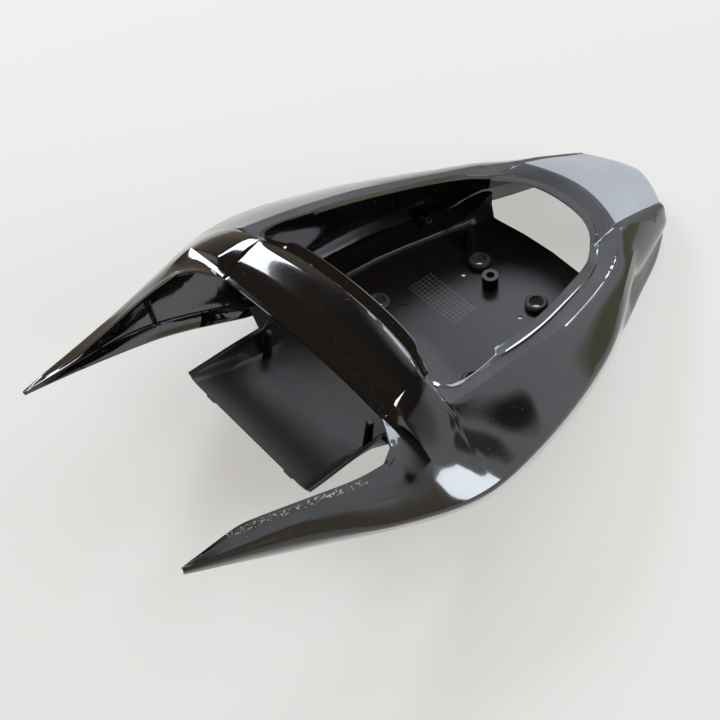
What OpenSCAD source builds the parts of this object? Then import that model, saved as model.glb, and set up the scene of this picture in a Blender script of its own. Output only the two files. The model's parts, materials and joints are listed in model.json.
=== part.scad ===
// Motorcycle tail fairing: two side panels, a cross bridge, a tail cover and the tray
// between them. Millimetres, +X to the tail, +Y to the right of the bike, +Z up.
// The origin is on the ground, on the centre plane, half way along the length.
// The shape is drawn level with the seat rim and then set down at its resting pitch.

/* [Overall] */

// Stretch of every length along the bike against the measured fairing, per cent
length_scale = 100; // [85:1:115]

// Stretch of every width across the bike against the measured fairing, per cent
width_scale = 100; // [85:1:115]

// Stretch of every height against the measured fairing, per cent
height_scale = 100; // [90:1:115]

/* [Panels] */

// Wall of the moulded outer panels
panel_wall = 2.6; // [2.2:0.1:3.2]

// Extra wall of the stiffened band along the lower edge
band_extra = 1.4; // [0.8:0.1:2.2]

// Gap left at every seam between two mouldings
seam_gap = 0.8; // [0.5:0.1:1.4]

// Height of the raised inner ledge above the seat rim
ledge_rise = 2.2; // [1:0.1:3]

// Crown of the cross piece where it runs out into the side panel
cross_crown = 4; // [2:0.5:6]

/* [Bridge] */

// Height of the crown of the bridge above its two ends
bridge_crown = 9; // [5:0.5:12]

// Height of the upstanding rear lip above the rear edge of the bridge
lip_rise = 5.5; // [3:0.5:8]

/* [Tray] */

// Wall of the tray
tray_wall = 2.4; // [2:0.1:3]

// Outer diameter of the four mount cushions
cushion_od = 25; // [22:0.5:28]

// Bore of the four mount cushions
cushion_bore = 14.5; // [12:0.5:16]

// Height of a mount cushion above the tray floor
cushion_height = 7.5; // [5:0.5:10]

// Diameter of the two small floor holes
floor_hole = 5.2; // [4:0.2:7]

// Height of the two short posts at the front of the tray
post_height = 32; // [26:1:38]

/* [Fixings] */

// Diameter of the two screw holes in the rear seat rim
rim_hole = 5; // [4:0.2:6.4]

// Length of the plate of an edge clip
clip_length = 19; // [16:1:22]

/* [Hidden] */

$fn = 40;

sx = length_scale / 100;
sy = width_scale / 100;
sz = height_scale / 100;

// Key lines of the right panel, front to rear, measured from the bridge seam on the
// seat rim. Each line holds one point for every station along the panel.
// The inner edge: rider opening, bridge seam, seat opening, tail cover seam.
edge_line = [
  [-262, 126.5, -70.5], [-236, 126.5, -64], [-208, 126, -57.5], [-190, 130.5, -53.3],
  [-167, 136.7, -50], [-121, 150, -43.5], [-96, 156, -41], [-73, 158.3, -36],
  [-57, 148.8, -32], [-47.8, 131.6, -30], [-42, 119.6, -30], [-37, 119.6, -28.5],
  [-30.5, 119.6, -17.8], [-20, 119.6, -10], [-10, 119.6, -4], [-0.5, 119.6, 0],
  [6.5, 119.8, -4], [11, 127, -6.5], [20, 137, -8.5], [34, 140.5, -8.5],
  [57, 138.5, -8], [80, 133.5, -6.8], [86, 127.5, -5], [110, 124.5, -5],
  [139, 120.7, -6], [166, 115.2, -6.3], [192.5, 108.4, -5.7], [218.6, 100.7, -5.2],
  [245, 92.4, -5.4], [263, 84, -5.5], [277, 73, -5], [288, 71.7, -4.5],
  [302, 70.2, -0.6], [317, 68, 3.8], [345, 65, 1.5], [375, 61, -4], [409, 57, -10]];

// The line where the raised ledge meets the textured rim.
rim_line = [
  [-262, 127.2, -69.9], [-236, 129.5, -64.4], [-208, 131.5, -59], [-190, 136, -55.4],
  [-167, 142.2, -52.2], [-122, 155.4, -46.4], [-96, 162.1, -43.8], [-74, 164.7, -39.2],
  [-60, 159.2, -35.2], [-50, 148.1, -32.5], [-42, 140.5, -31.2], [-38.2, 140.5, -29.3],
  [-35.5, 141, -18.4], [-22.7, 139, -12.5], [-11.3, 136, -6], [-1, 132.5, -2.5],
  [3.5, 129, -5], [7, 133.5, -8], [15, 141, -9.5], [30, 144.5, -9.5],
  [57, 142.5, -9], [81, 138.5, -8.5], [87, 138, -8.6], [113, 136.5, -9.6],
  [142, 131.5, -10.2], [170, 125.2, -10.3], [197, 118.3, -9.5], [223, 111.3, -8.8],
  [248, 103.3, -8], [266, 93, -7.2], [278.5, 83.5, -6.6], [289, 74.7, -5],
  [303, 72.3, -0.9], [317.5, 71, 3.5], [345.3, 68, 1.1], [375.5, 64, -4.6],
  [409.5, 59.6, -10.9]];

// The crease between the top of the panel and its side.
crease_line = [
  [-262, 128.5, -68.8], [-236, 135.5, -65.3], [-208, 142.7, -62], [-190, 147.2, -59.6],
  [-167, 153.3, -56.5], [-124, 166.1, -52.1], [-96, 174.4, -49.4], [-74, 179.4, -45.5],
  [-62, 181.3, -42], [-53, 182.2, -38.6], [-47, 182.6, -36], [-43, 182.5, -34.2],
  [-39, 182, -32.3], [-28, 178, -26.5], [-14, 169, -17.5], [-2.5, 158.8, -10.8],
  [0.5, 156.3, -9.5], [3.5, 155.5, -9], [10, 155.3, -9], [25, 154.6, -8.8],
  [50, 153.2, -8.2], [80, 150, -7.5], [87, 149.2, -7.5], [112, 147, -8],
  [142, 144, -9.2], [172, 138.5, -10.3], [203, 131, -10.3], [230, 123.3, -10.3],
  [255, 115, -10], [275, 105.5, -7.8], [288, 98, -5.8], [299, 89.5, -2.5],
  [309.5, 79.5, 1], [318.5, 74.5, 2.7], [346, 71.5, -0.2], [376.3, 67.3, -6],
  [410.5, 62, -12.6]];

// The upper side of the tight edge where the sloping side turns under.
shoulder_line = [
  [-262, 130, -70.5], [-236, 137.5, -69], [-208, 145.5, -67], [-190, 150.5, -66],
  [-167, 157.5, -64], [-126.4, 177.1, -66.2], [-97.6, 191.9, -68.9],
  [-73.6, 200.9, -67.3], [-59.6, 206, -66], [-49.6, 209.5, -64.9], [-42.6, 211.9, -64],
  [-39.6, 212.8, -63.6], [-35.6, 214.1, -63], [-25.6, 216.9, -61.5],
  [-14.6, 219.3, -59.6], [-3.6, 220.8, -57.3], [-0.6, 221.1, -56.6],
  [3.4, 221.4, -55.7], [11.4, 221.6, -53.8], [27.4, 220.9, -50.1],
  [50.4, 217.9, -46.2], [77.4, 212.7, -42.9], [85.4, 210.8, -42.3],
  [110.4, 204.5, -40.3], [141.4, 195.4, -37.7], [172.4, 184.6, -35],
  [203.4, 172.2, -32.5], [231.8, 156.2, -27.7], [257.4, 138.5, -21.7],
  [278.5, 124, -16.9], [292, 115.5, -14], [303, 108.5, -12.3], [314, 101.5, -11.3],
  [324, 96, -11], [349, 87, -14], [380, 76.5, -17.5], [413.5, 64.5, -22]];

// The lower side of that edge, and behind it the crease over the tail flare.
belly_line = [
  [-262, 130.3, -73.5], [-236, 138, -74.5], [-208, 146.5, -76], [-190, 152, -77],
  [-167, 159.5, -78.5], [-121.6, 177.9, -79.3], [-90.4, 191.9, -78.2],
  [-66.4, 200.9, -76.6], [-52.4, 206, -75.4], [-42.4, 209.5, -74.2],
  [-35.4, 211.9, -73.4], [-32.4, 212.8, -72.9], [-28.4, 214.1, -72.4],
  [-18.4, 216.9, -70.9], [-7.4, 219.3, -69], [3.6, 220.8, -66.7], [6.6, 221.1, -66],
  [10.6, 221.4, -65.1], [18.6, 221.6, -63.1], [34.6, 220.9, -59.5],
  [57.6, 217.9, -55.6], [84.6, 212.7, -52.3], [92.6, 210.8, -51.6],
  [117.6, 204.5, -49.7], [148.6, 195.4, -47], [179.6, 184.6, -44.3],
  [210.6, 172.2, -41.9], [238, 157.9, -41.3], [260.6, 144.2, -45.9],
  [278.4, 131.5, -50.4], [290, 122.5, -52], [300, 116, -51.5], [309, 110, -51],
  [320.5, 105.3, -50], [345, 98, -47.5], [379.5, 83.5, -46.5], [415.5, 66.8, -45]];

// The lower edge.
lower_line = [
  [-260.5, 129.5, -76.5], [-236, 135, -81.5], [-208, 141, -87.2], [-190, 144.8, -91.2],
  [-167, 149.5, -96.5], [-124, 157, -107], [-92, 162.2, -115], [-68, 165, -122],
  [-54, 166.6, -126.5], [-44, 167.5, -129.5], [-37, 168, -131.8], [-34, 168.2, -132.7],
  [-30, 168.4, -134], [-20, 169, -137], [-10, 169.6, -140], [0, 170, -143],
  [3, 170.2, -144], [7, 170.4, -145], [15, 170.6, -147.5], [31, 171, -151.5],
  [50, 173, -154.5], [77, 177.2, -145.2], [86, 177, -142.5], [113, 176, -133.5],
  [145, 172.3, -124], [176, 167.5, -115], [206, 160.5, -106], [233, 152.5, -98.5],
  [256, 145, -92.2], [276, 136, -87], [289, 129.5, -84], [300, 126, -81.3],
  [310, 121, -79], [321, 116, -76.8], [352, 101.5, -69.4], [384, 89.5, -60.5],
  [413.5, 69.5, -50]];

// The two stations of the lower edge that stand on the ground
front_foot = 20;
rear_foot = 35;

// Steps drawn between two neighbouring stations
steps = [1, 1, 2, 1, 2, 1, 1, 1, 1, 1, 1, 1, 1, 1, 1, 1, 1, 1, 1, 1,
         1, 1, 1, 1, 2, 2, 2, 2, 2, 1, 1, 1, 1, 1, 1, 1];

function clampi(i, n) = max(0, min(n, i));
function size3(p) = [p[0] * sx, p[1] * sy, p[2] * sz];

// Smooth curve through four neighbouring points, from b at t = 0 to c at t = 1
function curve4(a, b, c, d, t) =
  let (m = (c - a) / 2, n = (d - b) / 2, u = t * t, v = t * t * t)
  (2 * v - 3 * u + 1) * b + (v - 2 * u + t) * m + (3 * u - 2 * v) * c + (v - u) * n;

function along(line, i, t) =
  let (n = len(line) - 1)
  curve4(line[clampi(i - 1, n)], line[i], line[clampi(i + 1, n)],
         line[clampi(i + 2, n)], t);

function mix3(a, b, t) = a + (b - a) * t;
function unit3(v) = norm(v) < 0.0001 ? [0, 0, 1] : v / norm(v);

// A point on the way from a to b, bowed outwards by a share of the way's length
function bowed(a, b, t, share) =
  let (v = b - a)
  mix3(a, b, t) + [0, -v[2], v[1]] * share * 4 * t * (1 - t);

// One cross section of the right panel, from the inner edge to the lower edge
function section(i, t) =
  let (e = along(edge_line, i, t), r = along(rim_line, i, t),
       c = along(crease_line, i, t), s = along(shoulder_line, i, t),
       b = along(belly_line, i, t), l = along(lower_line, i, t),
       rise = (i >= 22 && i <= 28) ? ledge_rise : 0.3,
       crown = (i >= 12 && i <= 14) ? (cross_crown - 4) * 0.5 : 0,
       q = mix3(r, e, 0.12) + [0, 0, rise + crown],
       bulge = (i >= 32) ? 0 : 0.045 * norm(l - b),
       run = norm(l - b),
       h0 = min(1.5, run * 0.08) / run,
       h1 = min(15, run * 0.5) / run,
       h2 = min(7, run * 0.22) / run)
  [e, q, r + [0, 0, crown], c,
   bowed(c, s, 0.33, 0.03), bowed(c, s, 0.66, 0.03),
   s, bowed(s, b, 0.33, 0.16), bowed(s, b, 0.66, 0.16), b,
   mix3(b, l, 0.3) + [0, bulge, 0], mix3(b, l, max(0.62 * (1 - h1), 0.4)) + [0, bulge, 0],
   mix3(b, l, 1 - h1 - h0) + [0, bulge * 0.82, 0], mix3(b, l, 1 - h1) + [0, bulge * 0.8, 0],
   mix3(b, l, 1 - h2) + [0, bulge * 0.7 + 0.4, 0], l];

panel_grid = [
  for (i = [0 : len(edge_line) - 2])
    for (j = [0 : steps[i] - 1])
      [for (p = section(i, j / steps[i])) size3(p)],
  [for (p = section(len(edge_line) - 2, 1)) size3(p)]];

// Outward normal of a grid surface at row i, column j
function grid_normal(g, i, j) =
  let (n = len(g) - 1, m = len(g[0]) - 1,
       du = g[clampi(i + 1, n)][j] - g[clampi(i - 1, n)][j],
       dv = g[i][clampi(j + 1, m)] - g[i][clampi(j - 1, m)])
  unit3(cross(du, dv));

function flat(list) = [for (a = list) for (b = a) b];

// A closed sheet: the grid is one face, the other lies inside it by the wall, which
// extra(row, column) thickens and the taper thins over the first rows
module sheet(g, wall, extra = function(i, j) 0, taper = []) {
  n = len(g);
  m = len(g[0]);
  skin = flat(g);
  core = flat([for (i = [0 : n - 1]) [for (j = [0 : m - 1])
    g[i][j] - grid_normal(g, i, j) * (wall + extra(i, j)) * (i < len(taper) ? taper[i] : 1)]]);
  k = n * m;
  top = flat([for (i = [0 : n - 2]) [for (j = [0 : m - 2])
    each [[i * m + j, i * m + j + 1, (i + 1) * m + j + 1],
          [i * m + j, (i + 1) * m + j + 1, (i + 1) * m + j]]]]);
  low = [for (f = top) [f[2] + k, f[1] + k, f[0] + k]];
  rim = concat([for (j = [0 : m - 2]) [j, j + 1]],
               [for (i = [0 : n - 2]) [i * m + m - 1, (i + 1) * m + m - 1]],
               [for (j = [0 : m - 2]) [n * m - 1 - j, n * m - 2 - j]],
               [for (i = [0 : n - 2]) [(n - 1 - i) * m, (n - 2 - i) * m]]);
  side = flat([for (e = rim) [[e[1], e[0], e[0] + k], [e[1], e[0] + k, e[1] + k]]]);
  polyhedron(points = concat(skin, core), faces = concat(top, low, side));
}

fit = 0.15;
tray_gap = 1.45;
clip_gap = 1;
rows = len(panel_grid);
row_at = [for (i = 0, n = 0; i <= len(steps); n = n + (i < len(steps) ? steps[i] : 0), i = i + 1) n];

// The stiffened band runs along the lower edge as far back as the front of the tray
last_column = 15;
band_end = row_at[21];
function band(i, j) = (j >= 13 && i <= band_end) ? band_extra : 0;

// A point of the panel skin at station i, column j, sunk by d under the skin
function under(i, j, d) =
  panel_grid[row_at[i]][j] - grid_normal(panel_grid, row_at[i], j) * d;

// A point on the inner face of the panel, up above the lower edge, clear of it by gap
function inner(i, up, gap) =
  let (p = [for (j = [last_column : -1 : last_column - 8])
            under(i, j, panel_wall + band(row_at[i], j) + gap)],
       run = [for (k = 0, a = 0; k < 9; a = a + (k < 8 ? norm(p[k + 1] - p[k]) : 0), k = k + 1) a],
       hit = [for (k = [0 : 7]) if (up >= run[k] && up <= run[k + 1]) k], k = hit[0])
  mix3(p[k], p[k + 1], (up - run[k]) / (run[k + 1] - run[k]));

// Resting pitch and height, from the two pairs of feet of the lower edge. The front
// pair stands on the outer corner of the edge, the rear pair on its inner corner.
foot_a = under(front_foot, last_column, 0);
foot_b = under(rear_foot, last_column, panel_wall);
rest_pitch = atan2(foot_b[2] - foot_a[2], foot_b[0] - foot_a[0]);
ground = foot_a[0] * sin(rest_pitch) - foot_a[2] * cos(rest_pitch);
set_x = -73.3 * sx;

// Sets the fairing down on the ground
module placed() {
  translate([set_x, 0, ground]) rotate([0, rest_pitch, 0]) children();
}

// Frame on the inner face of the panel: x along the panel, y inward and level, z up
module on_panel(i, up) {
  r = row_at[i];
  a = panel_grid[clampi(r + 1, rows - 1)][last_column] - panel_grid[clampi(r - 1, rows - 1)][last_column];
  x = -unit3(a);
  y = unit3(cross([0, 0, 1], x));
  z = cross(x, y);
  o = inner(i, up, 0);
  multmatrix([[x[0], y[0], z[0], o[0]], [x[1], y[1], z[1], o[1]],
              [x[2], y[2], z[2], o[2]], [0, 0, 0, 1]]) children();
}

// Frame under the skin at station i, column j, with y along the inward normal
module under_skin(i, j) {
  n = -grid_normal(panel_grid, row_at[i], j);
  z = unit3(cross(n, [1, 0, 0]));
  x = cross(n, z);
  o = under(i, j, panel_wall);
  multmatrix([[x[0], n[0], z[0], o[0]], [x[1], n[1], z[1], o[1]],
              [x[2], n[2], z[2], o[2]], [0, 0, 0, 1]]) children();
}

// A stiffening rib down the inside of the prong at station i
module prong_rib(i) {
  for (p = [[5, 9], [9, 13]])
    hull() {
      under_skin(i, p[0]) translate([-0.8, -0.8, -1]) cube([1.6, 4, 2]);
      under_skin(i, p[1]) translate([-0.8, -0.8, -1]) cube([1.6, 4, 2]);
    }
}

module panel_shell() {
  sheet(panel_grid, panel_wall, function(i, j) band(i, j), [0.15, 0.3, 0.55, 0.8]);
  prong_rib(4);
  prong_rib(6);
}

module right_panel() {
  color([0.04, 0.04, 0.05]) placed() panel_shell();
}

module left_panel() {
  color([0.04, 0.04, 0.05]) placed() mirror([0, 1, 0]) panel_shell();
}

// Bridge: rows from its front edge to its rear lip, drawn across the bike
half = 119.6 * sy - seam_gap;
across = [-1, -0.94, -0.87, -0.81, -0.785, -0.74, -0.62, -0.45, -0.23, 0,
          0.23, 0.45, 0.62, 0.74, 0.785, 0.81, 0.87, 0.94, 1];

function bridge_row(k, v) =
  let (u = v * v, e = 1 - u, q = u - u * u, c = bridge_crown / 9,
       w = max(abs(v) < 0.9 ? 0.5 : 0.42, min(1, 0.5 + (0.82 - abs(v)) / 0.1)),
       rx = -0.5 + 12.3 * (e + q), rz = (9 * e - 2.9 * q) * c)
  k == 0 ? [-42 + 3.5 * e, -30 + 2 * e] :
  k == 1 ? [-37 + 1.5 * e, -28.5 + 1.5 * e] :
  k == 2 ? [-33.5 + 0.6 * e, -22.7 + 0.8 * e] :
  k == 3 ? [-30.5, -17.8 + 0.4 * e] :
  k == 4 ? [-20, -10 + 3.5 * e * c] :
  k == 5 ? [-10 + 2 * e, -4 + 5.5 * e * c] :
  k == 6 ? [-4.5 + 7.5 * e, -1.5 + 8 * e * c] :
  k == 7 ? [rx, rz] :
  k == 8 ? [rx + 1.2, rz - 2.6] :
  k == 9 ? [rx + 3.8, rz - 3.4] :
  k == 10 ? [rx + 6.4 + 1.2 * w, rz - 3.8 + 0.45 * (lip_rise + 3.5) * w] :
  [rx + 7.2 + 3.2 * w, rz - 4 + (lip_rise + 4) * w];

bridge_grid = [for (k = [0 : 11]) [for (v = across)
  let (p = bridge_row(k, v)) [p[0] * sx, v * half, p[1] * sz]]];

// Joining tongue under a seam: two points on one moulding and two under the panel
module tongue(pairs) {
  sheet(pairs, 1.8);
}

bridge_tongue = [for (p = [[3, 12], [4, 13], [5, 14], [7, 15]])
  let (a = bridge_grid[p[0]][16], b = bridge_grid[p[0]][18], n = [0, 0, 1],
       c = under(p[1], 0, panel_wall + fit + 1), d = under(p[1], 1, panel_wall + fit + 1))
  [mix3(a, b, 0.2) - n * 2, b - n * 2.2, mix3(c, d, 0.08), mix3(c, d, 0.5)]];

module centre_bridge() {
  color([0.04, 0.04, 0.05]) placed() {
    sheet(bridge_grid, panel_wall);
    for (s = [0, 1])
      mirror([0, s, 0]) tongue(bridge_tongue);
  }
}

// Tail cover: rows from the seat opening to the tail, each ending on the panel seam
cover_rows = [
  [277, 73, -5, 311, -2.5, 2.8], [285, 72.2, -3, 319, -0.3, 2.8],
  [287.5, 71.7, -5.2, 320.3, -2.6, 2.8], [302, 70.2, -0.6, 328, 1.2, 2.2],
  [317, 68, 3.8, 336, 5, 1.7], [320, 67.7, 3.8, 339.5, 5.4, 1.8],
  [345, 65, 1.5, 363, 4.6, 1.9], [375, 61, -4, 394, 1, 1.9],
  [395, 58.8, -7.9, 419, -4.4, 1.7], [409, 57, -10, 437.5, -9.8, 1.5],
  [409, 56.8, -18, 437.6, -19, 1.5]];
cover_across = [-1, -0.93, -0.85, -0.72, -0.55, -0.37, -0.18, 0,
                0.18, 0.37, 0.55, 0.72, 0.85, 0.93, 1];

cover_grid = [for (r = cover_rows) [for (v = cover_across)
  [(r[3] - (r[3] - r[0]) * pow(abs(v), r[5])) * sx, v * (r[1] * sy - seam_gap),
   (r[4] + (r[2] - r[4]) * v * v) * sz]]];

cover_tongue = [for (p = [[4, 33], [6, 34], [7, 35], [9, 36]])
  let (a = cover_grid[p[0]][12], b = cover_grid[p[0]][14],
       c = under(p[1], 0, panel_wall + fit + 0.9), d = under(p[1], 6, panel_wall + fit + 0.9),
       n = [0, 0, 1], s = p[0] == 9 ? [-7 * sx, 0, 0] : [0, 0, 0])
  [mix3(a, b, 0.2) - n * 1.6 + s, b - n * 1.8 + s, mix3(c, d, 0.12) + s, mix3(c, d, 0.4) + s]];

module rear_cover() {
  color([0.05, 0.05, 0.06]) placed()
    difference() {
      union() {
        sheet(cover_grid, panel_wall);
        for (s = [0, 1])
          mirror([0, s, 0]) tongue(cover_tongue);
      }
      for (s = [-1, 1])
        translate([300 * sx, s * 60.6 * sy, -12]) cylinder(h = 24, d = rim_hole);
    }
}

// Tray: rows from the front edge of the tongue to the rear edge. Each row holds its
// place along the bike at the side, how far its middle bows to the rear, the floor
// height in the middle and at the side (none where the row lies on the sloping floor),
// the half width of the floor, the half width and height of the top of the fold beside
// it, and the panel station of its outer edge with the height there over the lower edge.
function slope_z(x) = -94.5 + (x - 225) * 0.209;
floor_pitch = atan2(0.209 * sz, sx);

tray_rows = [
  [-101, 0, -110.5, -110.5, 88, 93, -108.8], [-82, 0, -111.8, -111.8, 86, 93, -105],
  [-58, 0, -112.8, -112.8, 84, 92.5, -99.5], [-35, 0, -113.5, -113.5, 83, 92, -95],
  [-14, 0, -114, -114.3, 83, 91, -91], [4, 3, -114.6, -115.5, 87, 94, -88, 19, 9],
  [24, 8, -115.2, -117.5, 95, 102, -95, 20, 9], [42, 32, -115.6, -121.5, 105, 111, -112, 21, 9],
  [66, 61, -115, -126, 115, 119.5, -123, 22, 9], [94, 44, 0, 0, 122, 126, -118.3, 23, 8],
  [134, 20, 0, 0, 127.5, 131.5, -109.5, 24, 7], [172, 6, 0, 0, 123, 127, -101.6, 25, 4.5],
  [204, 0, 0, 0, 116, 120, -95, 26, 3.5], [232, 0, 0, 0, 108.5, 112.5, -89.2, 27, 3.5],
  [256, 0, 0, 0, 101.5, 106, -83, 28, 3.5], [276, 0, 0, 0, 96, 101, -75, 29, 4.5],
  [291, 1, 0, 0, 91.5, 97, -64, 30, 9], [301, 3, 0, 0, 88.5, 95, -53, 31, 19],
  [309, 8, 0, 0, 85, 94, -47, 32, 29]];

function tray_half(r) =
  let (x = r[0], w = r[1], free = len(r) < 8, f = r[4], a = r[5], h = r[6],
       z = [for (k = [0, 0.14, 0.75, 1]) r[2] == 0 ? slope_z(x + k * w) : mix3(r[3], r[2], k)],
       o = free ? size3([x, a + 4.5, h + 1]) : inner(r[7], r[8] * sz, tray_gap),
       b = free ? size3([x, a + 1.5, h + 0.8]) : mix3(size3([x, a + 4, h]), o, 0.1),
       m = free ? size3([x, a + 3, h + 1.1]) : mix3(b, o, 0.5))
  [size3([x + w, 0, z[3]]), size3([x + w * 0.75, f * 0.5, z[2]]),
   size3([x + w * 0.14, f - 6, z[1]]), size3([x, f, z[0] + 0.8]),
   size3([x, mix3(f, a, 0.75), mix3(z[0] + 0.8, h, 0.5)]), size3([x, a, h]), b, m, o];

tray_grid = [for (r = tray_rows)
  let (p = tray_half(r))
  [for (i = [8 : -1 : 1]) [p[i][0], -p[i][1], p[i][2]], for (i = [0 : 8]) p[i]]];

// Frame on the tray floor, z square to the floor
module on_floor(x, y) {
  translate([x * sx, y * sy, slope_z(x) * sz]) rotate([0, -floor_pitch, 0]) children();
}

cushions = [[248.6, 44], [131, 74.7]];

// Cone boss with three webs
module web_boss() {
  translate([0, 0, -1]) cylinder(h = 27, r1 = 7, r2 = 4.5);
  for (a = [90, 210, 330])
    rotate([0, 0, a]) rotate([90, 0, 0]) translate([0, 0, -0.9])
      linear_extrude(1.8) polygon([[2, -1], [13, -1], [4, 22], [2, 22]]);
}

module undertray() {
  color([0.06, 0.06, 0.06]) placed()
    difference() {
      union() {
        sheet(tray_grid, tray_wall);
        on_floor(235, 12) translate([0, 0, -1]) cylinder(h = 17, d = 18);
        for (s = [-1, 1]) {
          on_floor(261, 72 * s) web_boss();
          translate([-15.5 * sx, 79 * sy * s, -115 * sz]) {
            cylinder(h = post_height - 2, r1 = 5, r2 = 4);
            translate([0, 0, post_height - 2.01]) cylinder(h = 2, r1 = 4, r2 = 2.6);
          }
          translate([-99 * sx, 62 * sy * s - 6, -119 * sz]) cube([2.5, 12, 8 * sz]);
        }
        on_floor(145, 50) translate([0, 0, -0.3]) rotate_extrude(angle = 150)
          translate([8, 0]) square([1.4, 1.1]);
        on_floor(138, 104) translate([0, 0, -0.3]) rotate_extrude(angle = 150)
          translate([7, 0]) square([1.4, 1.1]);
        on_floor(268, 24) translate([0, 0, -0.3]) rotate_extrude(angle = 150)
          translate([8, 0]) square([1.4, 1.1]);
        on_floor(226, 66) translate([0, -0.7, -0.3]) cube([26, 1.4, 1.1]);
        on_floor(226, 66) translate([-0.7, 0, -0.3]) cube([1.4, 29, 1.1]);
        on_floor(200, 58) translate([-0.7, 0, -0.3]) cube([1.4, 34, 1.1]);
      }
      on_floor(235, 12) translate([0, 0, -10]) cylinder(h = 40, d = 9);
      for (c = cushions, s = [-1, 1])
        on_floor(c[0], c[1] * s) translate([0, 0, -10]) cylinder(h = 20, d = cushion_od - 6);
      for (s = [-1, 1])
        on_floor(225, 43.6 * s) translate([0, 0, -10]) cylinder(h = 20, d = floor_hole);
    }
}

// Rubber cushion: a spool with a rounded head, gripping the tray round its hole
module cushion() {
  r = cushion_od / 2;
  b = cushion_bore / 2;
  rotate_extrude()
    polygon([[b + 1, cushion_height], [r - 2, cushion_height], [r, cushion_height - 2],
             [r, 1.2], [r - 1, fit], [r - 3 - fit, fit], [r - 3 - fit, -tray_wall - fit],
             [r - 1, -tray_wall - fit], [r, -tray_wall - 1.5], [r, -tray_wall - 4],
             [b, -tray_wall - 4], [b, cushion_height - 1]]);
}

module mount_cushions() {
  color([0.1, 0.09, 0.08]) placed()
    for (c = cushions, s = [-1, 1])
      on_floor(c[0], c[1] * s) cushion();
}

// Clip nut: a folded plate with two barbs that grips the edge of the panel, and the
// steel barrel held in it
module edge_clip() {
  l = clip_length;
  difference() {
    union() {
      translate([-l / 2, 0, 0]) cube([l, 14, 4]);
      translate([-l / 2, 0, 0]) cube([l, 2.6, 6]);
      translate([-l / 2 + 2, 3, 3.9]) cube([l - 4, 10, 1.2]);
      for (x = [-0.27, 0.27])
        translate([x * l, 1.5, 5.9]) cylinder(h = 5, r1 = 1.5, r2 = 0.5);
    }
    translate([0, 8, -1]) cylinder(h = 8, d = barrel_od + 2 * fit);
  }
}

// Each side carries a clip on the panel at the foot of the prong, and one on the rim of
// the tray beside the seat well. The first is placed by panel station and height over
// the lower edge, the second by tray row.
prong_clip = [13, 10];
tray_clip = 14;
barrel_od = 8;

// Frame on the rim of the tray: x along the rim, y inward, z square to the rim
module on_tray_rim(k) {
  m = len(tray_grid[0]) - 1;
  x = -unit3(tray_grid[k + 1][m] - tray_grid[k - 1][m]);
  z = grid_normal(tray_grid, k, m - 1);
  y = unit3(cross(z, x));
  o = tray_grid[k][m] + y * 9;
  u = cross(x, y);
  multmatrix([[x[0], y[0], u[0], o[0]], [x[1], y[1], u[1], o[1]],
              [x[2], y[2], u[2], o[2]], [0, 0, 0, 1]]) children();
}

module at_clips() {
  for (s = [0, 1])
    mirror([0, s, 0]) {
      on_panel(prong_clip[0], prong_clip[1]) translate([0, clip_gap, 0]) children();
      on_tray_rim(tray_clip) translate([0, 0, clip_gap]) children();
    }
}

module edge_clips() {
  color([0.05, 0.05, 0.05]) placed() at_clips() edge_clip();
}

module clip_barrels() {
  color([0.7, 0.7, 0.72]) placed() at_clips()
    translate([0, 8, 0])
      difference() {
        cylinder(h = 6.1, d = barrel_od);
        translate([0, 0, -1]) cylinder(h = 9, d = barrel_od - 3);
      }
}

left_panel();
right_panel();
centre_bridge();
rear_cover();
undertray();
mount_cushions();
edge_clips();
clip_barrels();
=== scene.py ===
"""Looks of the motorcycle tail fairing: gloss panels, grained rim, moulded tray, studio.

Metres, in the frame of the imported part: +X to the tail, +Y to the right of the bike, +Z up.
"""

import json
import math

import bpy
from mathutils import Euler, Matrix, Vector

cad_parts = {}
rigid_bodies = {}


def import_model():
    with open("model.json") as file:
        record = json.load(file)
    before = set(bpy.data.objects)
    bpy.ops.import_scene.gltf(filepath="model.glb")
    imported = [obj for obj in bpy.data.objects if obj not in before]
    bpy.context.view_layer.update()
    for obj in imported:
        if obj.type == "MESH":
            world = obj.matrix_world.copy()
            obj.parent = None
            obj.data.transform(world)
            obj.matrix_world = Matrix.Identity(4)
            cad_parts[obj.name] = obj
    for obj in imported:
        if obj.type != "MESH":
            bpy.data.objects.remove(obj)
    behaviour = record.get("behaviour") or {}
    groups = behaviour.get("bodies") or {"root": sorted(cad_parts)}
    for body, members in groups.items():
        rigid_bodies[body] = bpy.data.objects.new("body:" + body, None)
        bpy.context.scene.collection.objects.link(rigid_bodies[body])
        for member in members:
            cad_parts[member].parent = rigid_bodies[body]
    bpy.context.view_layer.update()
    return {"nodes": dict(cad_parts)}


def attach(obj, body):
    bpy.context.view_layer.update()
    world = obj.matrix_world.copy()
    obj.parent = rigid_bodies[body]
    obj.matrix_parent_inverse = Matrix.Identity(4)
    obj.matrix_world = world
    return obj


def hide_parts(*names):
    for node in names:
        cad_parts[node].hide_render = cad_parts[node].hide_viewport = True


bl_info = {
    "name": "Motorcycle tail fairing",
    "version": (1, 0, 0),
    "blender": (4, 5, 0),
    "location": "View3D > Sidebar > Fairing",
    "description": "Dresses the packed tail fairing and sets it in a plain studio",
    "category": "Object",
}

# An empty scene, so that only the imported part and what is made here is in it
for spare in list(bpy.data.objects):
    bpy.data.objects.remove(spare)

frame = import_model()

MM = 0.001
# The seat rim is level in the frame it was drawn in; the part rests pitched by this much
REST_PITCH = math.radians(15.6056)
REST_SHIFT = Vector((-73.3 * MM, 0.0, 162.255 * MM))

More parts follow.
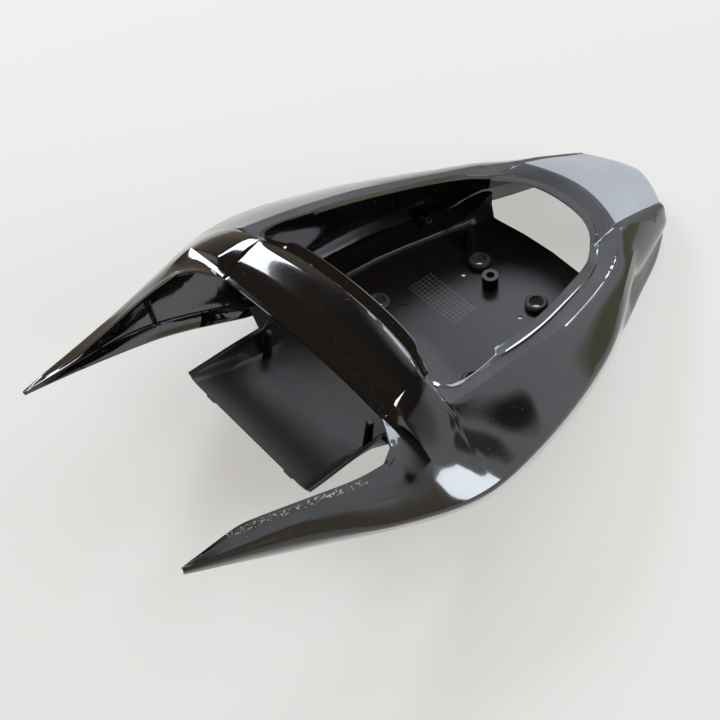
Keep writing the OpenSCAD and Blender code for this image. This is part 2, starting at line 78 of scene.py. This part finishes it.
# Plan of the grained strip round the seat opening, in mm from the bridge seam:
# place along the bike, then the half widths of its inner and its outer edge
RIM_PLAN = [
    (5, 131, 155.5), (15, 141, 155.2), (30, 144.5, 154.6), (57, 142.5, 153.0),
    (81, 138.5, 150.0), (87, 138, 149.2), (113, 136.5, 147.0), (142, 131.5, 144.0),
    (170, 125.2, 138.5), (197, 118.3, 131.8), (223, 111.3, 124.8), (248, 103.3, 117.2),
    (266, 93, 109.5), (278.5, 83.5, 103.5), (289, 74.7, 97.0), (303, 72.3, 84.5),
    (316, 71, 74.8), (330, 60, 73.0),
]

# A face lies on that strip from this place on, if it looks up by this much and isn't
# lower than this; the slack lets the border faces in. Places are in mm
STRIP_START = 4.0
STRIP_UP = 0.55
STRIP_LOWEST = -16.0
STRIP_SLACK = (0.2, 0.3)

# The matt ring of the cover ends at this place on the middle line, and further forward
# by the second value at this half width, along a curve of this power, all in mm. It
# holds the faces that look up by more than the last value
RING_END = 341.0
RING_DRAW = 23.0
RING_HALF = 70.0
RING_POWER = 1.8
RING_UP = 0.3

# Angles in degrees: triangles flatter than the first and less skewed than the second
# pair up as quads, folds past the third stay crisp, and after smoothing an edge past
# the fourth is a real lip, which gets a small round
QUAD_FOLD = 40.0
QUAD_SKEW = 60.0
HELD_FOLD = 24.0
LIP_ANGLE = 13.0
SMOOTH_LEVEL = 2
WELD = 1e-6

# The bridge's folds and the tray's facets are flatter, in degrees
BRIDGE_FOLD = 22.0
TRAY_QUAD_FOLD = 25.0
TRAY_SMOOTH = 35.0

# Width of the small round on a lip, in mm, and on the thinner cover
LIP_WIDTH = 0.9
COVER_LIP = 0.5

# Sockets of a Mix node that mixes colours
MIX_A, MIX_B, MIX_OUT = 6, 7, 2


# Helpers


def linear(hexcode):
    """sRGB hex to the linear RGBA that the shaders take."""
    parts = [int(hexcode[i:i + 2], 16) / 255 for i in (1, 3, 5)]
    return [c / 12.92 if c <= 0.04045 else ((c + 0.055) / 1.055) ** 2.4 for c in parts] + [1.0]


def add(tree, kind, links=None, **settings):
    """One node with its settings, its constant inputs and the links that feed it."""
    made = tree.nodes.new(kind)
    for key, value in settings.items():
        setattr(made, key, value)
    for key, value in (links or {}).items():
        if isinstance(value, bpy.types.NodeSocket):
            tree.links.new(value, made.inputs[key])
        else:
            made.inputs[key].default_value = value
    return made


def new_material(name):
    """An empty material with its output, its shader and object coordinates."""
    made = bpy.data.materials.new(name)
    made.use_nodes = True
    tree = made.node_tree
    tree.nodes.clear()
    shader = add(tree, "ShaderNodeBsdfPrincipled")
    add(tree, "ShaderNodeOutputMaterial", {"Surface": shader.outputs["BSDF"]})
    coords = add(tree, "ShaderNodeTexCoord")
    return made, tree, shader, coords.outputs["Object"]


def level_frame(co):
    """A point of the resting part in the frame where the seat rim is level, in mm."""
    p = Matrix.Rotation(-REST_PITCH, 3, "Y") @ (Vector(co) - REST_SHIFT)
    return p / MM


def level_turn(v):
    """A direction on the resting part in the frame where the seat rim is level."""
    return Matrix.Rotation(-REST_PITCH, 3, "Y") @ Vector(v)


def between(table, x, column):
    """Straight-line reading of a table sorted by its first column."""
    if x <= table[0][0]:
        return table[0][column]
    for a, b in zip(table, table[1:]):
        if x <= b[0]:
            t = (x - a[0]) / (b[0] - a[0])
            return a[column] + (b[column] - a[column]) * t
    return table[-1][column]


def pick_none():
    """Leaves edit mode and deselects everything."""
    if bpy.context.object and bpy.context.object.mode != "OBJECT":
        bpy.ops.object.mode_set(mode="OBJECT")
    bpy.ops.object.select_all(action="DESELECT")


def only(obj):
    """Selects one piece and makes it the active one."""
    pick_none()
    obj.select_set(True)
    bpy.context.view_layer.objects.active = obj


def merged_copy(node, name):
    """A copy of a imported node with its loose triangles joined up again."""
    source = frame["nodes"][node]
    made = bpy.data.objects.new(name, source.data.copy())
    bpy.context.scene.collection.objects.link(made)
    only(made)
    if made.data.has_custom_normals:
        bpy.ops.mesh.customdata_custom_splitnormals_clear()
    bpy.ops.object.mode_set(mode="EDIT")
    bpy.ops.mesh.select_all(action="SELECT")
    bpy.ops.mesh.remove_doubles(threshold=WELD)
    bpy.ops.object.mode_set(mode="OBJECT")
    made.data.materials.clear()
    return made


def to_quads(obj, fold):
    """Pairs the triangles of a piece up as quads, where they are nearly flat."""
    only(obj)
    bpy.ops.object.mode_set(mode="EDIT")
    bpy.ops.mesh.select_all(action="SELECT")
    bpy.ops.mesh.tris_convert_to_quads(
        face_threshold=math.radians(fold), shape_threshold=math.radians(QUAD_SKEW))
    bpy.ops.object.mode_set(mode="OBJECT")


def crease_folds(obj, angle):
    """Creases every edge folded by more than the angle, so that smoothing keeps it."""
    only(obj)
    bpy.ops.object.mode_set(mode="EDIT")
    bpy.ops.mesh.select_mode(type="EDGE")
    bpy.ops.mesh.select_all(action="DESELECT")
    bpy.ops.mesh.edges_select_sharp(sharpness=math.radians(angle))
    bpy.ops.transform.edge_crease(value=1.0)
    bpy.ops.object.mode_set(mode="OBJECT")


def finish_modifier(obj, kind, name, **settings):
    """Adds a modifier and applies it."""
    only(obj)
    made = obj.modifiers.new(name, kind)
    for key, value in settings.items():
        setattr(made, key, value)
    bpy.ops.object.modifier_apply(modifier=made.name)


def smooth(obj, angle):
    """Shades a piece smooth, with folds past the angle kept sharp."""
    only(obj)
    bpy.ops.object.shade_smooth_by_angle(angle=math.radians(angle))


def skin(node, name, fold=HELD_FOLD, lip=LIP_WIDTH):
    """A packed moulding as a smooth skin: quads, held folds, subdivision, rounded lips."""
    made = merged_copy(node, name)
    to_quads(made, QUAD_FOLD)
    crease_folds(made, fold)
    finish_modifier(made, "SUBSURF", "Smooth", levels=SMOOTH_LEVEL,
                    render_levels=SMOOTH_LEVEL)
    finish_modifier(made, "BEVEL", "Lip", width=lip * MM, segments=2, profile=0.6,
                    limit_method="ANGLE", angle_limit=math.radians(LIP_ANGLE))
    smooth(made, fold)
    return made


# Materials

# Ends of the glue line on the near prong, x and y
GLUE_FROM = (-298 * MM, -128 * MM)
GLUE_TO = (-175 * MM, -161 * MM)

# The tray's engraved grid in the level frame: the middle and half length along each
# axis, the spacing of its lines and half their width
GRID_PLAN = (("X", 186 * MM, 16.5 * MM), ("Y", 34 * MM, 36.5 * MM))
GRID_STEP = 5 * MM
GRID_LINE = 0.4 * MM

# How much of the floor's light to the camera and in gloss is its own paleness
PAPER_SHARE = 0.62


def gloss_abs(props):
    """Black painted ABS, clear coated: deep gloss with a faint orange peel and dust."""
    made, tree, shader, co = new_material("painted_abs_gloss")
    peel = add(tree, "ShaderNodeTexNoise", {"Vector": co, "Scale": 1 / (12 * MM), "Detail": 1.0})
    dust = add(tree, "ShaderNodeTexNoise", {"Vector": co, "Scale": 1 / (3.2 * MM), "Detail": 3.0,
                                            "Roughness": 0.6})
    specks = add(tree, "ShaderNodeMapRange", {"Value": dust.outputs["Fac"], "From Min": 0.66,
                                              "From Max": 0.72, "To Min": 0.0, "To Max": 1.0})
    smear = add(tree, "ShaderNodeTexNoise", {"Vector": co, "Scale": 1 / (90 * MM), "Detail": 4.0})
    haze = add(tree, "ShaderNodeMapRange", {"Value": smear.outputs["Fac"], "From Min": 0.35,
                                            "From Max": 0.75, "To Min": 0.05, "To Max": 0.15})
    tint = add(tree, "ShaderNodeMix", {"Factor": specks.outputs["Result"],
                                       MIX_A: list(props.panel_colour), MIX_B: linear("#38383c")},
               data_type="RGBA")
    bump = add(tree, "ShaderNodeBump", {"Height": peel.outputs["Fac"], "Strength": 0.02,
                                        "Distance": 2 * MM})

    # Old glue and grinding along the inner lip of the near prong: pale crumbs, rough
    axes = add(tree, "ShaderNodeSeparateXYZ", {"Vector": co})
    lip = add(tree, "ShaderNodeMapRange", {
        "Value": axes.outputs["X"], "From Min": GLUE_FROM[0], "From Max": GLUE_TO[0],
        "To Min": GLUE_FROM[1], "To Max": GLUE_TO[1]})
    off = add(tree, "ShaderNodeMath", {0: axes.outputs["Y"], 1: lip.outputs["Result"]},
              operation="SUBTRACT")
    away = add(tree, "ShaderNodeMath", {0: off.outputs["Value"]}, operation="ABSOLUTE")
    band = add(tree, "ShaderNodeMapRange", {"Value": away.outputs["Value"],
                                            "From Min": 0.6 * MM, "From Max": 3 * MM,
                                            "To Min": 1.0, "To Max": 0.0})
    run = add(tree, "ShaderNodeMath", {
        0: axes.outputs["X"], 1: (GLUE_FROM[0] + GLUE_TO[0]) / 2,
        2: (GLUE_TO[0] - GLUE_FROM[0]) / 2}, operation="COMPARE")
    zone = add(tree, "ShaderNodeMath", {0: band.outputs["Result"], 1: run.outputs["Value"]},
               operation="MULTIPLY")
    crumb = add(tree, "ShaderNodeTexNoise", {"Vector": co, "Scale": 1 / (2.8 * MM), "Detail": 4.0,
                                             "Roughness": 0.7})
    crumbs = add(tree, "ShaderNodeMapRange", {"Value": crumb.outputs["Fac"], "From Min": 0.53,
                                              "From Max": 0.60})
    glue = add(tree, "ShaderNodeMath", {0: zone.outputs["Value"], 1: crumbs.outputs["Result"]},
               operation="MULTIPLY")
    tint = add(tree, "ShaderNodeMix", {"Factor": glue.outputs["Value"], MIX_A: tint.outputs[MIX_OUT],
                                       MIX_B: linear("#b9b2a6")}, data_type="RGBA")
    dull = add(tree, "ShaderNodeMix", {"Factor": glue.outputs["Value"],
                                       2: haze.outputs["Result"], 3: 0.7})
    bump = add(tree, "ShaderNodeBump", {"Height": glue.outputs["Value"], "Strength": 0.6,
                                        "Distance": 1 * MM, "Normal": bump.outputs["Normal"]})
    tree.links.new(tint.outputs[MIX_OUT], shader.inputs["Base Color"])
    tree.links.new(dull.outputs[0], shader.inputs["Roughness"])
    tree.links.new(bump.outputs["Normal"], shader.inputs["Normal"])
    shader.inputs["IOR"].default_value = 1.5
    shader.inputs["Coat Weight"].default_value = 0.7
    shader.inputs["Coat Roughness"].default_value = 0.03
    return made


def grained_abs(props, name="grained_abs_rim", colour=None, rough=0.5, grain=0.9):
    """Moulded ABS with a fine leather grain: dull dark grey, sparkles a little at edges."""
    made, tree, shader, co = new_material(name)
    cells = add(tree, "ShaderNodeTexNoise", {"Vector": co, "Scale": 1 / (grain * MM),
                                             "Detail": 2.0})
    cloud = add(tree, "ShaderNodeTexNoise", {"Vector": co, "Scale": 1 / (50 * MM), "Detail": 5.0})
    wear = add(tree, "ShaderNodeMapRange", {"Value": cloud.outputs["Fac"], "From Min": 0.3,
                                            "From Max": 0.7, "To Min": rough - 0.07,
                                            "To Max": rough + 0.08})
    base = linear(colour) if colour else list(props.rim_colour)
    tint = add(tree, "ShaderNodeMix", {"Factor": cloud.outputs["Fac"], MIX_A: base,
                                       MIX_B: [c * 0.84 for c in base[:3]] + [1.0]},
               data_type="RGBA")
    bump = add(tree, "ShaderNodeBump", {"Height": cells.outputs["Fac"], "Strength": 0.25,
                                        "Distance": 0.6 * MM})
    tree.links.new(tint.outputs[MIX_OUT], shader.inputs["Base Color"])
    tree.links.new(wear.outputs["Result"], shader.inputs["Roughness"])
    tree.links.new(bump.outputs["Normal"], shader.inputs["Normal"])
    shader.inputs["Specular IOR Level"].default_value = 0.35
    return made


def moulded_pp(props):
    """Black polypropylene, moulded with a fine grain: brownish, soft low sheen."""
    made, tree, shader, co = new_material("moulded_polypropylene")

    # The tray floor carries a small engraved grid, wider drawn than cut so that it shows
    flat = add(tree, "ShaderNodeVectorRotate", {
        "Vector": add(tree, "ShaderNodeVectorMath", {0: co, 1: REST_SHIFT},
                      operation="SUBTRACT").outputs["Vector"],
        "Axis": (0.0, 1.0, 0.0), "Angle": -REST_PITCH}, rotation_type="AXIS_ANGLE")
    axes = add(tree, "ShaderNodeSeparateXYZ", {"Vector": flat.outputs["Vector"]})
    lines, inner = 0.0, 1.0
    for axis, middle, reach in GRID_PLAN:
        value = axes.outputs[axis]
        step = add(tree, "ShaderNodeMath", {0: value, 1: GRID_STEP / 2},
                   operation="PINGPONG")
        line = add(tree, "ShaderNodeMath", {0: step.outputs["Value"], 1: GRID_LINE},
                   operation="LESS_THAN")
        inside = add(tree, "ShaderNodeMath", {0: value, 1: middle, 2: reach},
                     operation="COMPARE")
        lines = add(tree, "ShaderNodeMath", {0: lines, 1: line.outputs["Value"]},
                    operation="MAXIMUM").outputs["Value"]
        inner = add(tree, "ShaderNodeMath", {0: inner, 1: inside.outputs["Value"]},
                    operation="MULTIPLY").outputs["Value"]
    grid = add(tree, "ShaderNodeMath", {0: lines, 1: inner}, operation="MULTIPLY")
    grain = add(tree, "ShaderNodeTexNoise", {"Vector": co, "Scale": 1 / (1.2 * MM), "Detail": 2.0})
    cloud = add(tree, "ShaderNodeTexNoise", {"Vector": co, "Scale": 1 / (70 * MM), "Detail": 5.0})
    tint = add(tree, "ShaderNodeMix", {"Factor": cloud.outputs["Fac"],
                                       MIX_A: list(props.tray_colour), MIX_B: linear("#221e1b")},
               data_type="RGBA")
    tint = add(tree, "ShaderNodeMix", {"Factor": grid.outputs["Value"], MIX_A: tint.outputs[MIX_OUT],
                                       MIX_B: linear("#54504c")}, data_type="RGBA")
    bump = add(tree, "ShaderNodeBump", {"Height": grain.outputs["Fac"], "Strength": 0.2,
                                        "Distance": 0.6 * MM})
    tree.links.new(tint.outputs[MIX_OUT], shader.inputs["Base Color"])
    tree.links.new(bump.outputs["Normal"], shader.inputs["Normal"])
    shader.inputs["Roughness"].default_value = 0.27
    shader.inputs["Specular IOR Level"].default_value = 0.22
    return made


def rubber():
    """Moulded rubber collar: soft dark grey with a dusty bloom."""
    made, tree, shader, co = new_material("moulded_rubber")
    bloom = add(tree, "ShaderNodeTexNoise", {"Vector": co, "Scale": 1 / (6 * MM), "Detail": 4.0})
    tint = add(tree, "ShaderNodeMix", {"Factor": bloom.outputs["Fac"], MIX_A: linear("#1d1b1a"),
                                       MIX_B: linear("#35312e")}, data_type="RGBA")
    tree.links.new(tint.outputs[MIX_OUT], shader.inputs["Base Color"])
    shader.inputs["Roughness"].default_value = 0.55
    return made


def zinc_steel():
    """Zinc plated steel barrel: pale, fairly bright, turned along its length."""
    made, tree, shader, co = new_material("zinc_plated_steel")
    turn = add(tree, "ShaderNodeTexNoise", {"Vector": co, "Scale": 1 / (0.8 * MM), "Detail": 2.0})
    rough = add(tree, "ShaderNodeMapRange", {"Value": turn.outputs["Fac"], "To Min": 0.2,
                                             "To Max": 0.4})
    tree.links.new(rough.outputs["Result"], shader.inputs["Roughness"])
    shader.inputs["Base Color"].default_value = linear("#c9cbd0")
    shader.inputs["Metallic"].default_value = 1.0
    return made


def floor_paper(props):
    """Matt studio paper: even and pale, no shine."""
    made, tree, shader, co = new_material("studio_paper")
    cloud = add(tree, "ShaderNodeTexNoise", {"Vector": co, "Scale": 1.2, "Detail": 1.0})
    tint = add(tree, "ShaderNodeMix", {"Factor": cloud.outputs["Fac"],
                                       MIX_A: list(props.floor_colour), MIX_B: linear("#dddbd6")},
               data_type="RGBA")
    tree.links.new(tint.outputs[MIX_OUT], shader.inputs["Base Color"])
    shader.inputs["Roughness"].default_value = 0.9
    shader.inputs["Specular IOR Level"].default_value = 0.1
    # The paper's own paleness, seen by the camera and in gloss, keeps the shadow soft
    pale = add(tree, "ShaderNodeEmission", {"Color": linear("#e6e5e2"), "Strength": 1.0})
    rays = add(tree, "ShaderNodeLightPath")
    seen = rays.outputs["Is Camera Ray"]
    for kind in ("Is Glossy Ray", "Is Transmission Ray"):
        seen = add(tree, "ShaderNodeMath", {0: seen, 1: rays.outputs[kind]},
                   operation="MAXIMUM").outputs["Value"]
    share = add(tree, "ShaderNodeMath", {0: seen, 1: PAPER_SHARE},
                operation="MULTIPLY")
    both = add(tree, "ShaderNodeMixShader", {0: share.outputs["Value"],
                                             1: shader.outputs["BSDF"],
                                             2: pale.outputs["Emission"]})
    tree.links.new(both.outputs["Shader"],
                   tree.nodes["Material Output"].inputs["Surface"])
    return made


# Softboxes: name, azimuth from +X towards +Y, elevation, apparent width and height in
# degrees, brightness against a white of 1, colour
LAMP_REACH = 3.0
# Watts for each square metre of a lamp that looks as bright as white
LAMP_WATTS = 4.0
LAMPS = [
    ("window_side", -75, 26, 17, 20, 9.0, "#eef6ff"),
    ("window_front", 92, 42, 31, 12, 13.0, "#eef4ff"),
    ("window_tail", 33, 43, 26, 18, 4.6, "#e8f1ff"),
    ("window_line", 7, 30, 6, 17, 11.0, "#f4f8ff"),
    ("wood_lamp", 168, 66, 5, 9, 7.0, "#e0a060"),
]


# Patches of the room: azimuth, elevation, inner and outer angle in degrees, colour,
# strength
ROOM = [
    (140, 30, 40, 70, "#6a5c4e", 1.0),
    (70, 66, 10, 26, "#554e48", 1.0),
    (-22, 34, 34, 60, "#f4f9ff", 1.2),
    (-12, 8, 7, 13, "#b4ba96", 1.0),
    (-44, 37, 3, 7, "#84888c", 1.0),
    (-30, 46, 5, 8, "#7a7c80", 1.0),
    (-27, 31, 3, 8, "#4c5054", 1.0),
    (-120, 66, 10, 30, "#4a4038", 1.0),
]


def heading(azimuth, elevation):
    """The direction at an azimuth from +X towards +Y and an elevation, in degrees."""
    a, e = math.radians(azimuth), math.radians(elevation)
    return Vector((math.cos(a) * math.cos(e), math.sin(a) * math.cos(e), math.sin(e)))


def studio_world(scene):
    """Soft room light: a dim warm room, bright on the near side, pale to the camera."""
    world = bpy.data.worlds.new("studio")
    scene.world = world
    world.use_nodes = True
    tree = world.node_tree
    tree.nodes.clear()
    way = add(tree, "ShaderNodeTexCoord").outputs["Generated"]

    def glow(azimuth, elevation, inner, outer):
        """1 near a heading, falling to 0 between two angles from it."""
        along = add(tree, "ShaderNodeVectorMath",
                    {0: way, 1: heading(azimuth, elevation)}, operation="DOT_PRODUCT")
        return add(tree, "ShaderNodeMapRange", {
            "Value": along.outputs["Value"], "From Min": math.cos(math.radians(outer)),
            "From Max": math.cos(math.radians(inner))},
            interpolation_type="SMOOTHSTEP").outputs["Result"]

    colour = linear("#b8aa98")
    for azimuth, elevation, inner, outer, shade, strength in ROOM:
        colour = add(tree, "ShaderNodeMix", {
            "Factor": glow(azimuth, elevation, inner, outer), MIX_A: colour,
            MIX_B: [c * strength for c in linear(shade)[:3]] + [1.0]},
            data_type="RGBA").outputs[MIX_OUT]
    room = add(tree, "ShaderNodeBackground", {"Color": colour, "Strength": 1.0})
    pale = add(tree, "ShaderNodeBackground", {"Color": linear("#e9ebec"), "Strength": 1.0})
    rays = add(tree, "ShaderNodeLightPath")
    both = add(tree, "ShaderNodeMixShader", {0: rays.outputs["Is Camera Ray"],
                                             1: room.outputs["Background"],
                                             2: pale.outputs["Background"]})
    add(tree, "ShaderNodeOutputWorld", {"Surface": both.outputs["Shader"]})


# Properties


class FairingLook(bpy.types.PropertyGroup):
    """Colours of the mouldings."""

    panel_colour: bpy.props.FloatVectorProperty(
        name="Panel colour", description="Colour of the gloss paint",
        subtype="COLOR", size=4, min=0.0, max=1.0, default=linear("#060607"))
    rim_colour: bpy.props.FloatVectorProperty(
        name="Rim colour", description="Colour of the grained seat rim",
        subtype="COLOR", size=4, min=0.0, max=1.0, default=linear("#3a3a3c"))
    tray_colour: bpy.props.FloatVectorProperty(
        name="Tray colour", description="Colour of the moulded tray",
        subtype="COLOR", size=4, min=0.0, max=1.0, default=linear("#151312"))


class StudioLook(bpy.types.PropertyGroup):
    """Floor and camera."""

    floor_colour: bpy.props.FloatVectorProperty(
        name="Floor colour", description="Colour of the studio paper",
        subtype="COLOR", size=4, min=0.0, max=1.0, default=linear("#e2e0dc"))
    floor_size: bpy.props.FloatProperty(
        name="Floor size", description="Side of the square floor", default=16.0,
        unit="LENGTH")
    camera_place: bpy.props.FloatVectorProperty(
        name="Camera place", description="Where the camera stands", subtype="TRANSLATION",
        default=(-0.47726, -0.6932, 1.08463))
    camera_turn: bpy.props.FloatVectorProperty(
        name="Camera turn", description="How the camera is turned", subtype="EULER",
        default=(math.radians(37.8077), math.radians(7.2458), math.radians(-40.2764)))
    camera_lens: bpy.props.FloatProperty(
        name="Lens", description="Focal length on a 36 mm sensor", default=65.0)


# Operators


def on_rim(face_centre, normal):
    """Whether a face of a side panel lies on the grained strip beside the seat opening."""
    p = level_frame(face_centre)
    up = level_turn(normal).z
    if p.x < STRIP_START or up < STRIP_UP or p.z < STRIP_LOWEST:
        return False
    inner = between(RIM_PLAN, p.x, 1) - STRIP_SLACK[0]
    outer = between(RIM_PLAN, p.x, 2) + STRIP_SLACK[1]
    return inner < abs(p.y) < outer


class FAIRING_OT_side_panels(bpy.types.Operator):
    """Makes the two gloss side panels with their grained seat rims"""

    bl_idname = "fairing.side_panels"
    bl_label = "Side panels"

    def execute(self, context):
        look = context.scene.fairing_look
        gloss = gloss_abs(look)
        rim = grained_abs(look)
        for side in ("left", "right"):
            panel = skin(side + "_panel", side + "_panel_skin")
            for material in (gloss, rim):
                panel.data.materials.append(material)
            for face in panel.data.polygons:
                if on_rim(face.center, face.normal):
                    face.material_index = 1
            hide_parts(side + "_panel")
            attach(panel, "root")
        return {"FINISHED"}


class FAIRING_OT_centre_bridge(bpy.types.Operator):
    """Makes the gloss bridge across the seat"""

    bl_idname = "fairing.centre_bridge"
    bl_label = "Centre bridge"

    def execute(self, context):
        bridge = skin("centre_bridge", "centre_bridge_skin", fold=BRIDGE_FOLD)
        bridge.data.materials.append(bpy.data.materials["painted_abs_gloss"])
        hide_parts("centre_bridge")
        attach(bridge, "root")
        return {"FINISHED"}


class FAIRING_OT_rear_cover(bpy.types.Operator):
    """Makes the satin tail cover, whose pale grey is partly its own tone and partly painted sheen"""

    bl_idname = "fairing.rear_cover"
    bl_label = "Rear cover"

    def execute(self, context):
        look = context.scene.fairing_look
        cover = skin("rear_cover", "rear_cover_skin", lip=COVER_LIP)
        # The pale grey base colour is partly the cover's own tone and partly painted sheen, standing
        # in for the reflection of a bright window
        satin_and_painted_sheen = grained_abs(look, "cover_abs_with_painted_sheen", "#9b9fa5", rough=0.3, grain=0.5)
        cover.data.materials.append(satin_and_painted_sheen)
        cover.data.materials.append(bpy.data.materials["grained_abs_rim"])
        for face in cover.data.polygons:
            p = level_frame(face.center)
            end = RING_END - RING_DRAW * (abs(p.y) / RING_HALF) ** RING_POWER
            if p.x < end and level_turn(face.normal).z > RING_UP:
                face.material_index = 1
        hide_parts("rear_cover")
        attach(cover, "root")
        return {"FINISHED"}


class FAIRING_OT_undertray(bpy.types.Operator):
    """Makes the moulded tray"""

    bl_idname = "fairing.undertray"
    bl_label = "Undertray"

    def execute(self, context):
        tray = merged_copy("undertray", "undertray_skin")
        to_quads(tray, TRAY_QUAD_FOLD)
        smooth(tray, TRAY_SMOOTH)
        tray.data.materials.append(moulded_pp(context.scene.fairing_look))
        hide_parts("undertray")
        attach(tray, "root")
        return {"FINISHED"}


class FAIRING_OT_small_parts(bpy.types.Operator):
    """Gives the rubber collars, the clip nuts and their barrels their finish"""

    bl_idname = "fairing.small_parts"
    bl_label = "Collars and clips"

    def execute(self, context):
        clip = grained_abs(context.scene.fairing_look, "moulded_nylon_clip", "#121213", 0.35)
        for node, material in (("mount_cushions", rubber()), ("edge_clips", clip),
                               ("clip_barrels", zinc_steel())):
            frame["nodes"][node].material_slots[0].material = material
        return {"FINISHED"}


class FAIRING_OT_stage(bpy.types.Operator):
    """Lays the pale floor and sets the lamps, the world and the camera"""

    bl_idname = "fairing.stage"
    bl_label = "Stage"

    def execute(self, context):
        studio = context.scene.studio_look
        pick_none()
        bpy.ops.mesh.primitive_plane_add(size=studio.floor_size, location=(0, 0, 0))
        floor = context.object
        floor.name = "floor"
        floor.data.materials.append(floor_paper(studio))

        for name, azimuth, elevation, wide, tall, glow, colour in LAMPS:
            data = bpy.data.lights.new(name, "AREA")
            data.shape = "RECTANGLE"
            data.size = 2 * LAMP_REACH * math.tan(math.radians(wide / 2))
            data.size_y = 2 * LAMP_REACH * math.tan(math.radians(tall / 2))
            data.energy = LAMP_WATTS * data.size * data.size_y * glow
            data.color = linear(colour)[:3]
            made = bpy.data.objects.new(name, data)
            context.scene.collection.objects.link(made)
            made.location = heading(azimuth, elevation) * LAMP_REACH
            made.rotation_euler = (-made.location).to_track_quat("-Z", "Y").to_euler()
            made.visible_camera = False

        studio_world(context.scene)

        data = bpy.data.cameras.new("camera")
        data.lens = studio.camera_lens
        data.sensor_width = 36.0
        data.clip_end = 50.0
        camera = bpy.data.objects.new("camera", data)
        context.scene.collection.objects.link(camera)
        camera.location = studio.camera_place
        camera.rotation_euler = Euler(studio.camera_turn)
        context.scene.camera = camera
        context.scene.view_settings.view_transform = "Standard"
        return {"FINISHED"}


class FAIRING_PT_panel(bpy.types.Panel):
    """Lists the pieces of the fairing and their colours"""

    bl_idname = "FAIRING_PT_panel"
    bl_label = "Tail fairing"
    bl_space_type = "VIEW_3D"
    bl_region_type = "UI"
    bl_category = "Fairing"

    def draw(self, context):
        for group in (context.scene.fairing_look, context.scene.studio_look):
            for key in group.bl_rna.properties.keys():
                if key not in ("rna_type", "name"):
                    self.layout.prop(group, key)
        for operator in OPERATORS:
            self.layout.operator(operator.bl_idname)


OPERATORS = (
    FAIRING_OT_side_panels,
    FAIRING_OT_centre_bridge,
    FAIRING_OT_rear_cover,
    FAIRING_OT_undertray,
    FAIRING_OT_small_parts,
    FAIRING_OT_stage,
)


def register():
    for made in (FairingLook, StudioLook, *OPERATORS, FAIRING_PT_panel):
        bpy.utils.register_class(made)
    bpy.types.Scene.fairing_look = bpy.props.PointerProperty(type=FairingLook)
    bpy.types.Scene.studio_look = bpy.props.PointerProperty(type=StudioLook)


def unregister():
    del bpy.types.Scene.fairing_look
    del bpy.types.Scene.studio_look
    for made in (FAIRING_PT_panel, *reversed(OPERATORS), StudioLook, FairingLook):
        bpy.utils.unregister_class(made)


def main():
    register()
    for operator in OPERATORS:
        family, call = operator.bl_idname.split(".")
        getattr(getattr(bpy.ops, family), call)()
    bpy.context.view_layer.update()


if __name__ == "__main__":
    main()
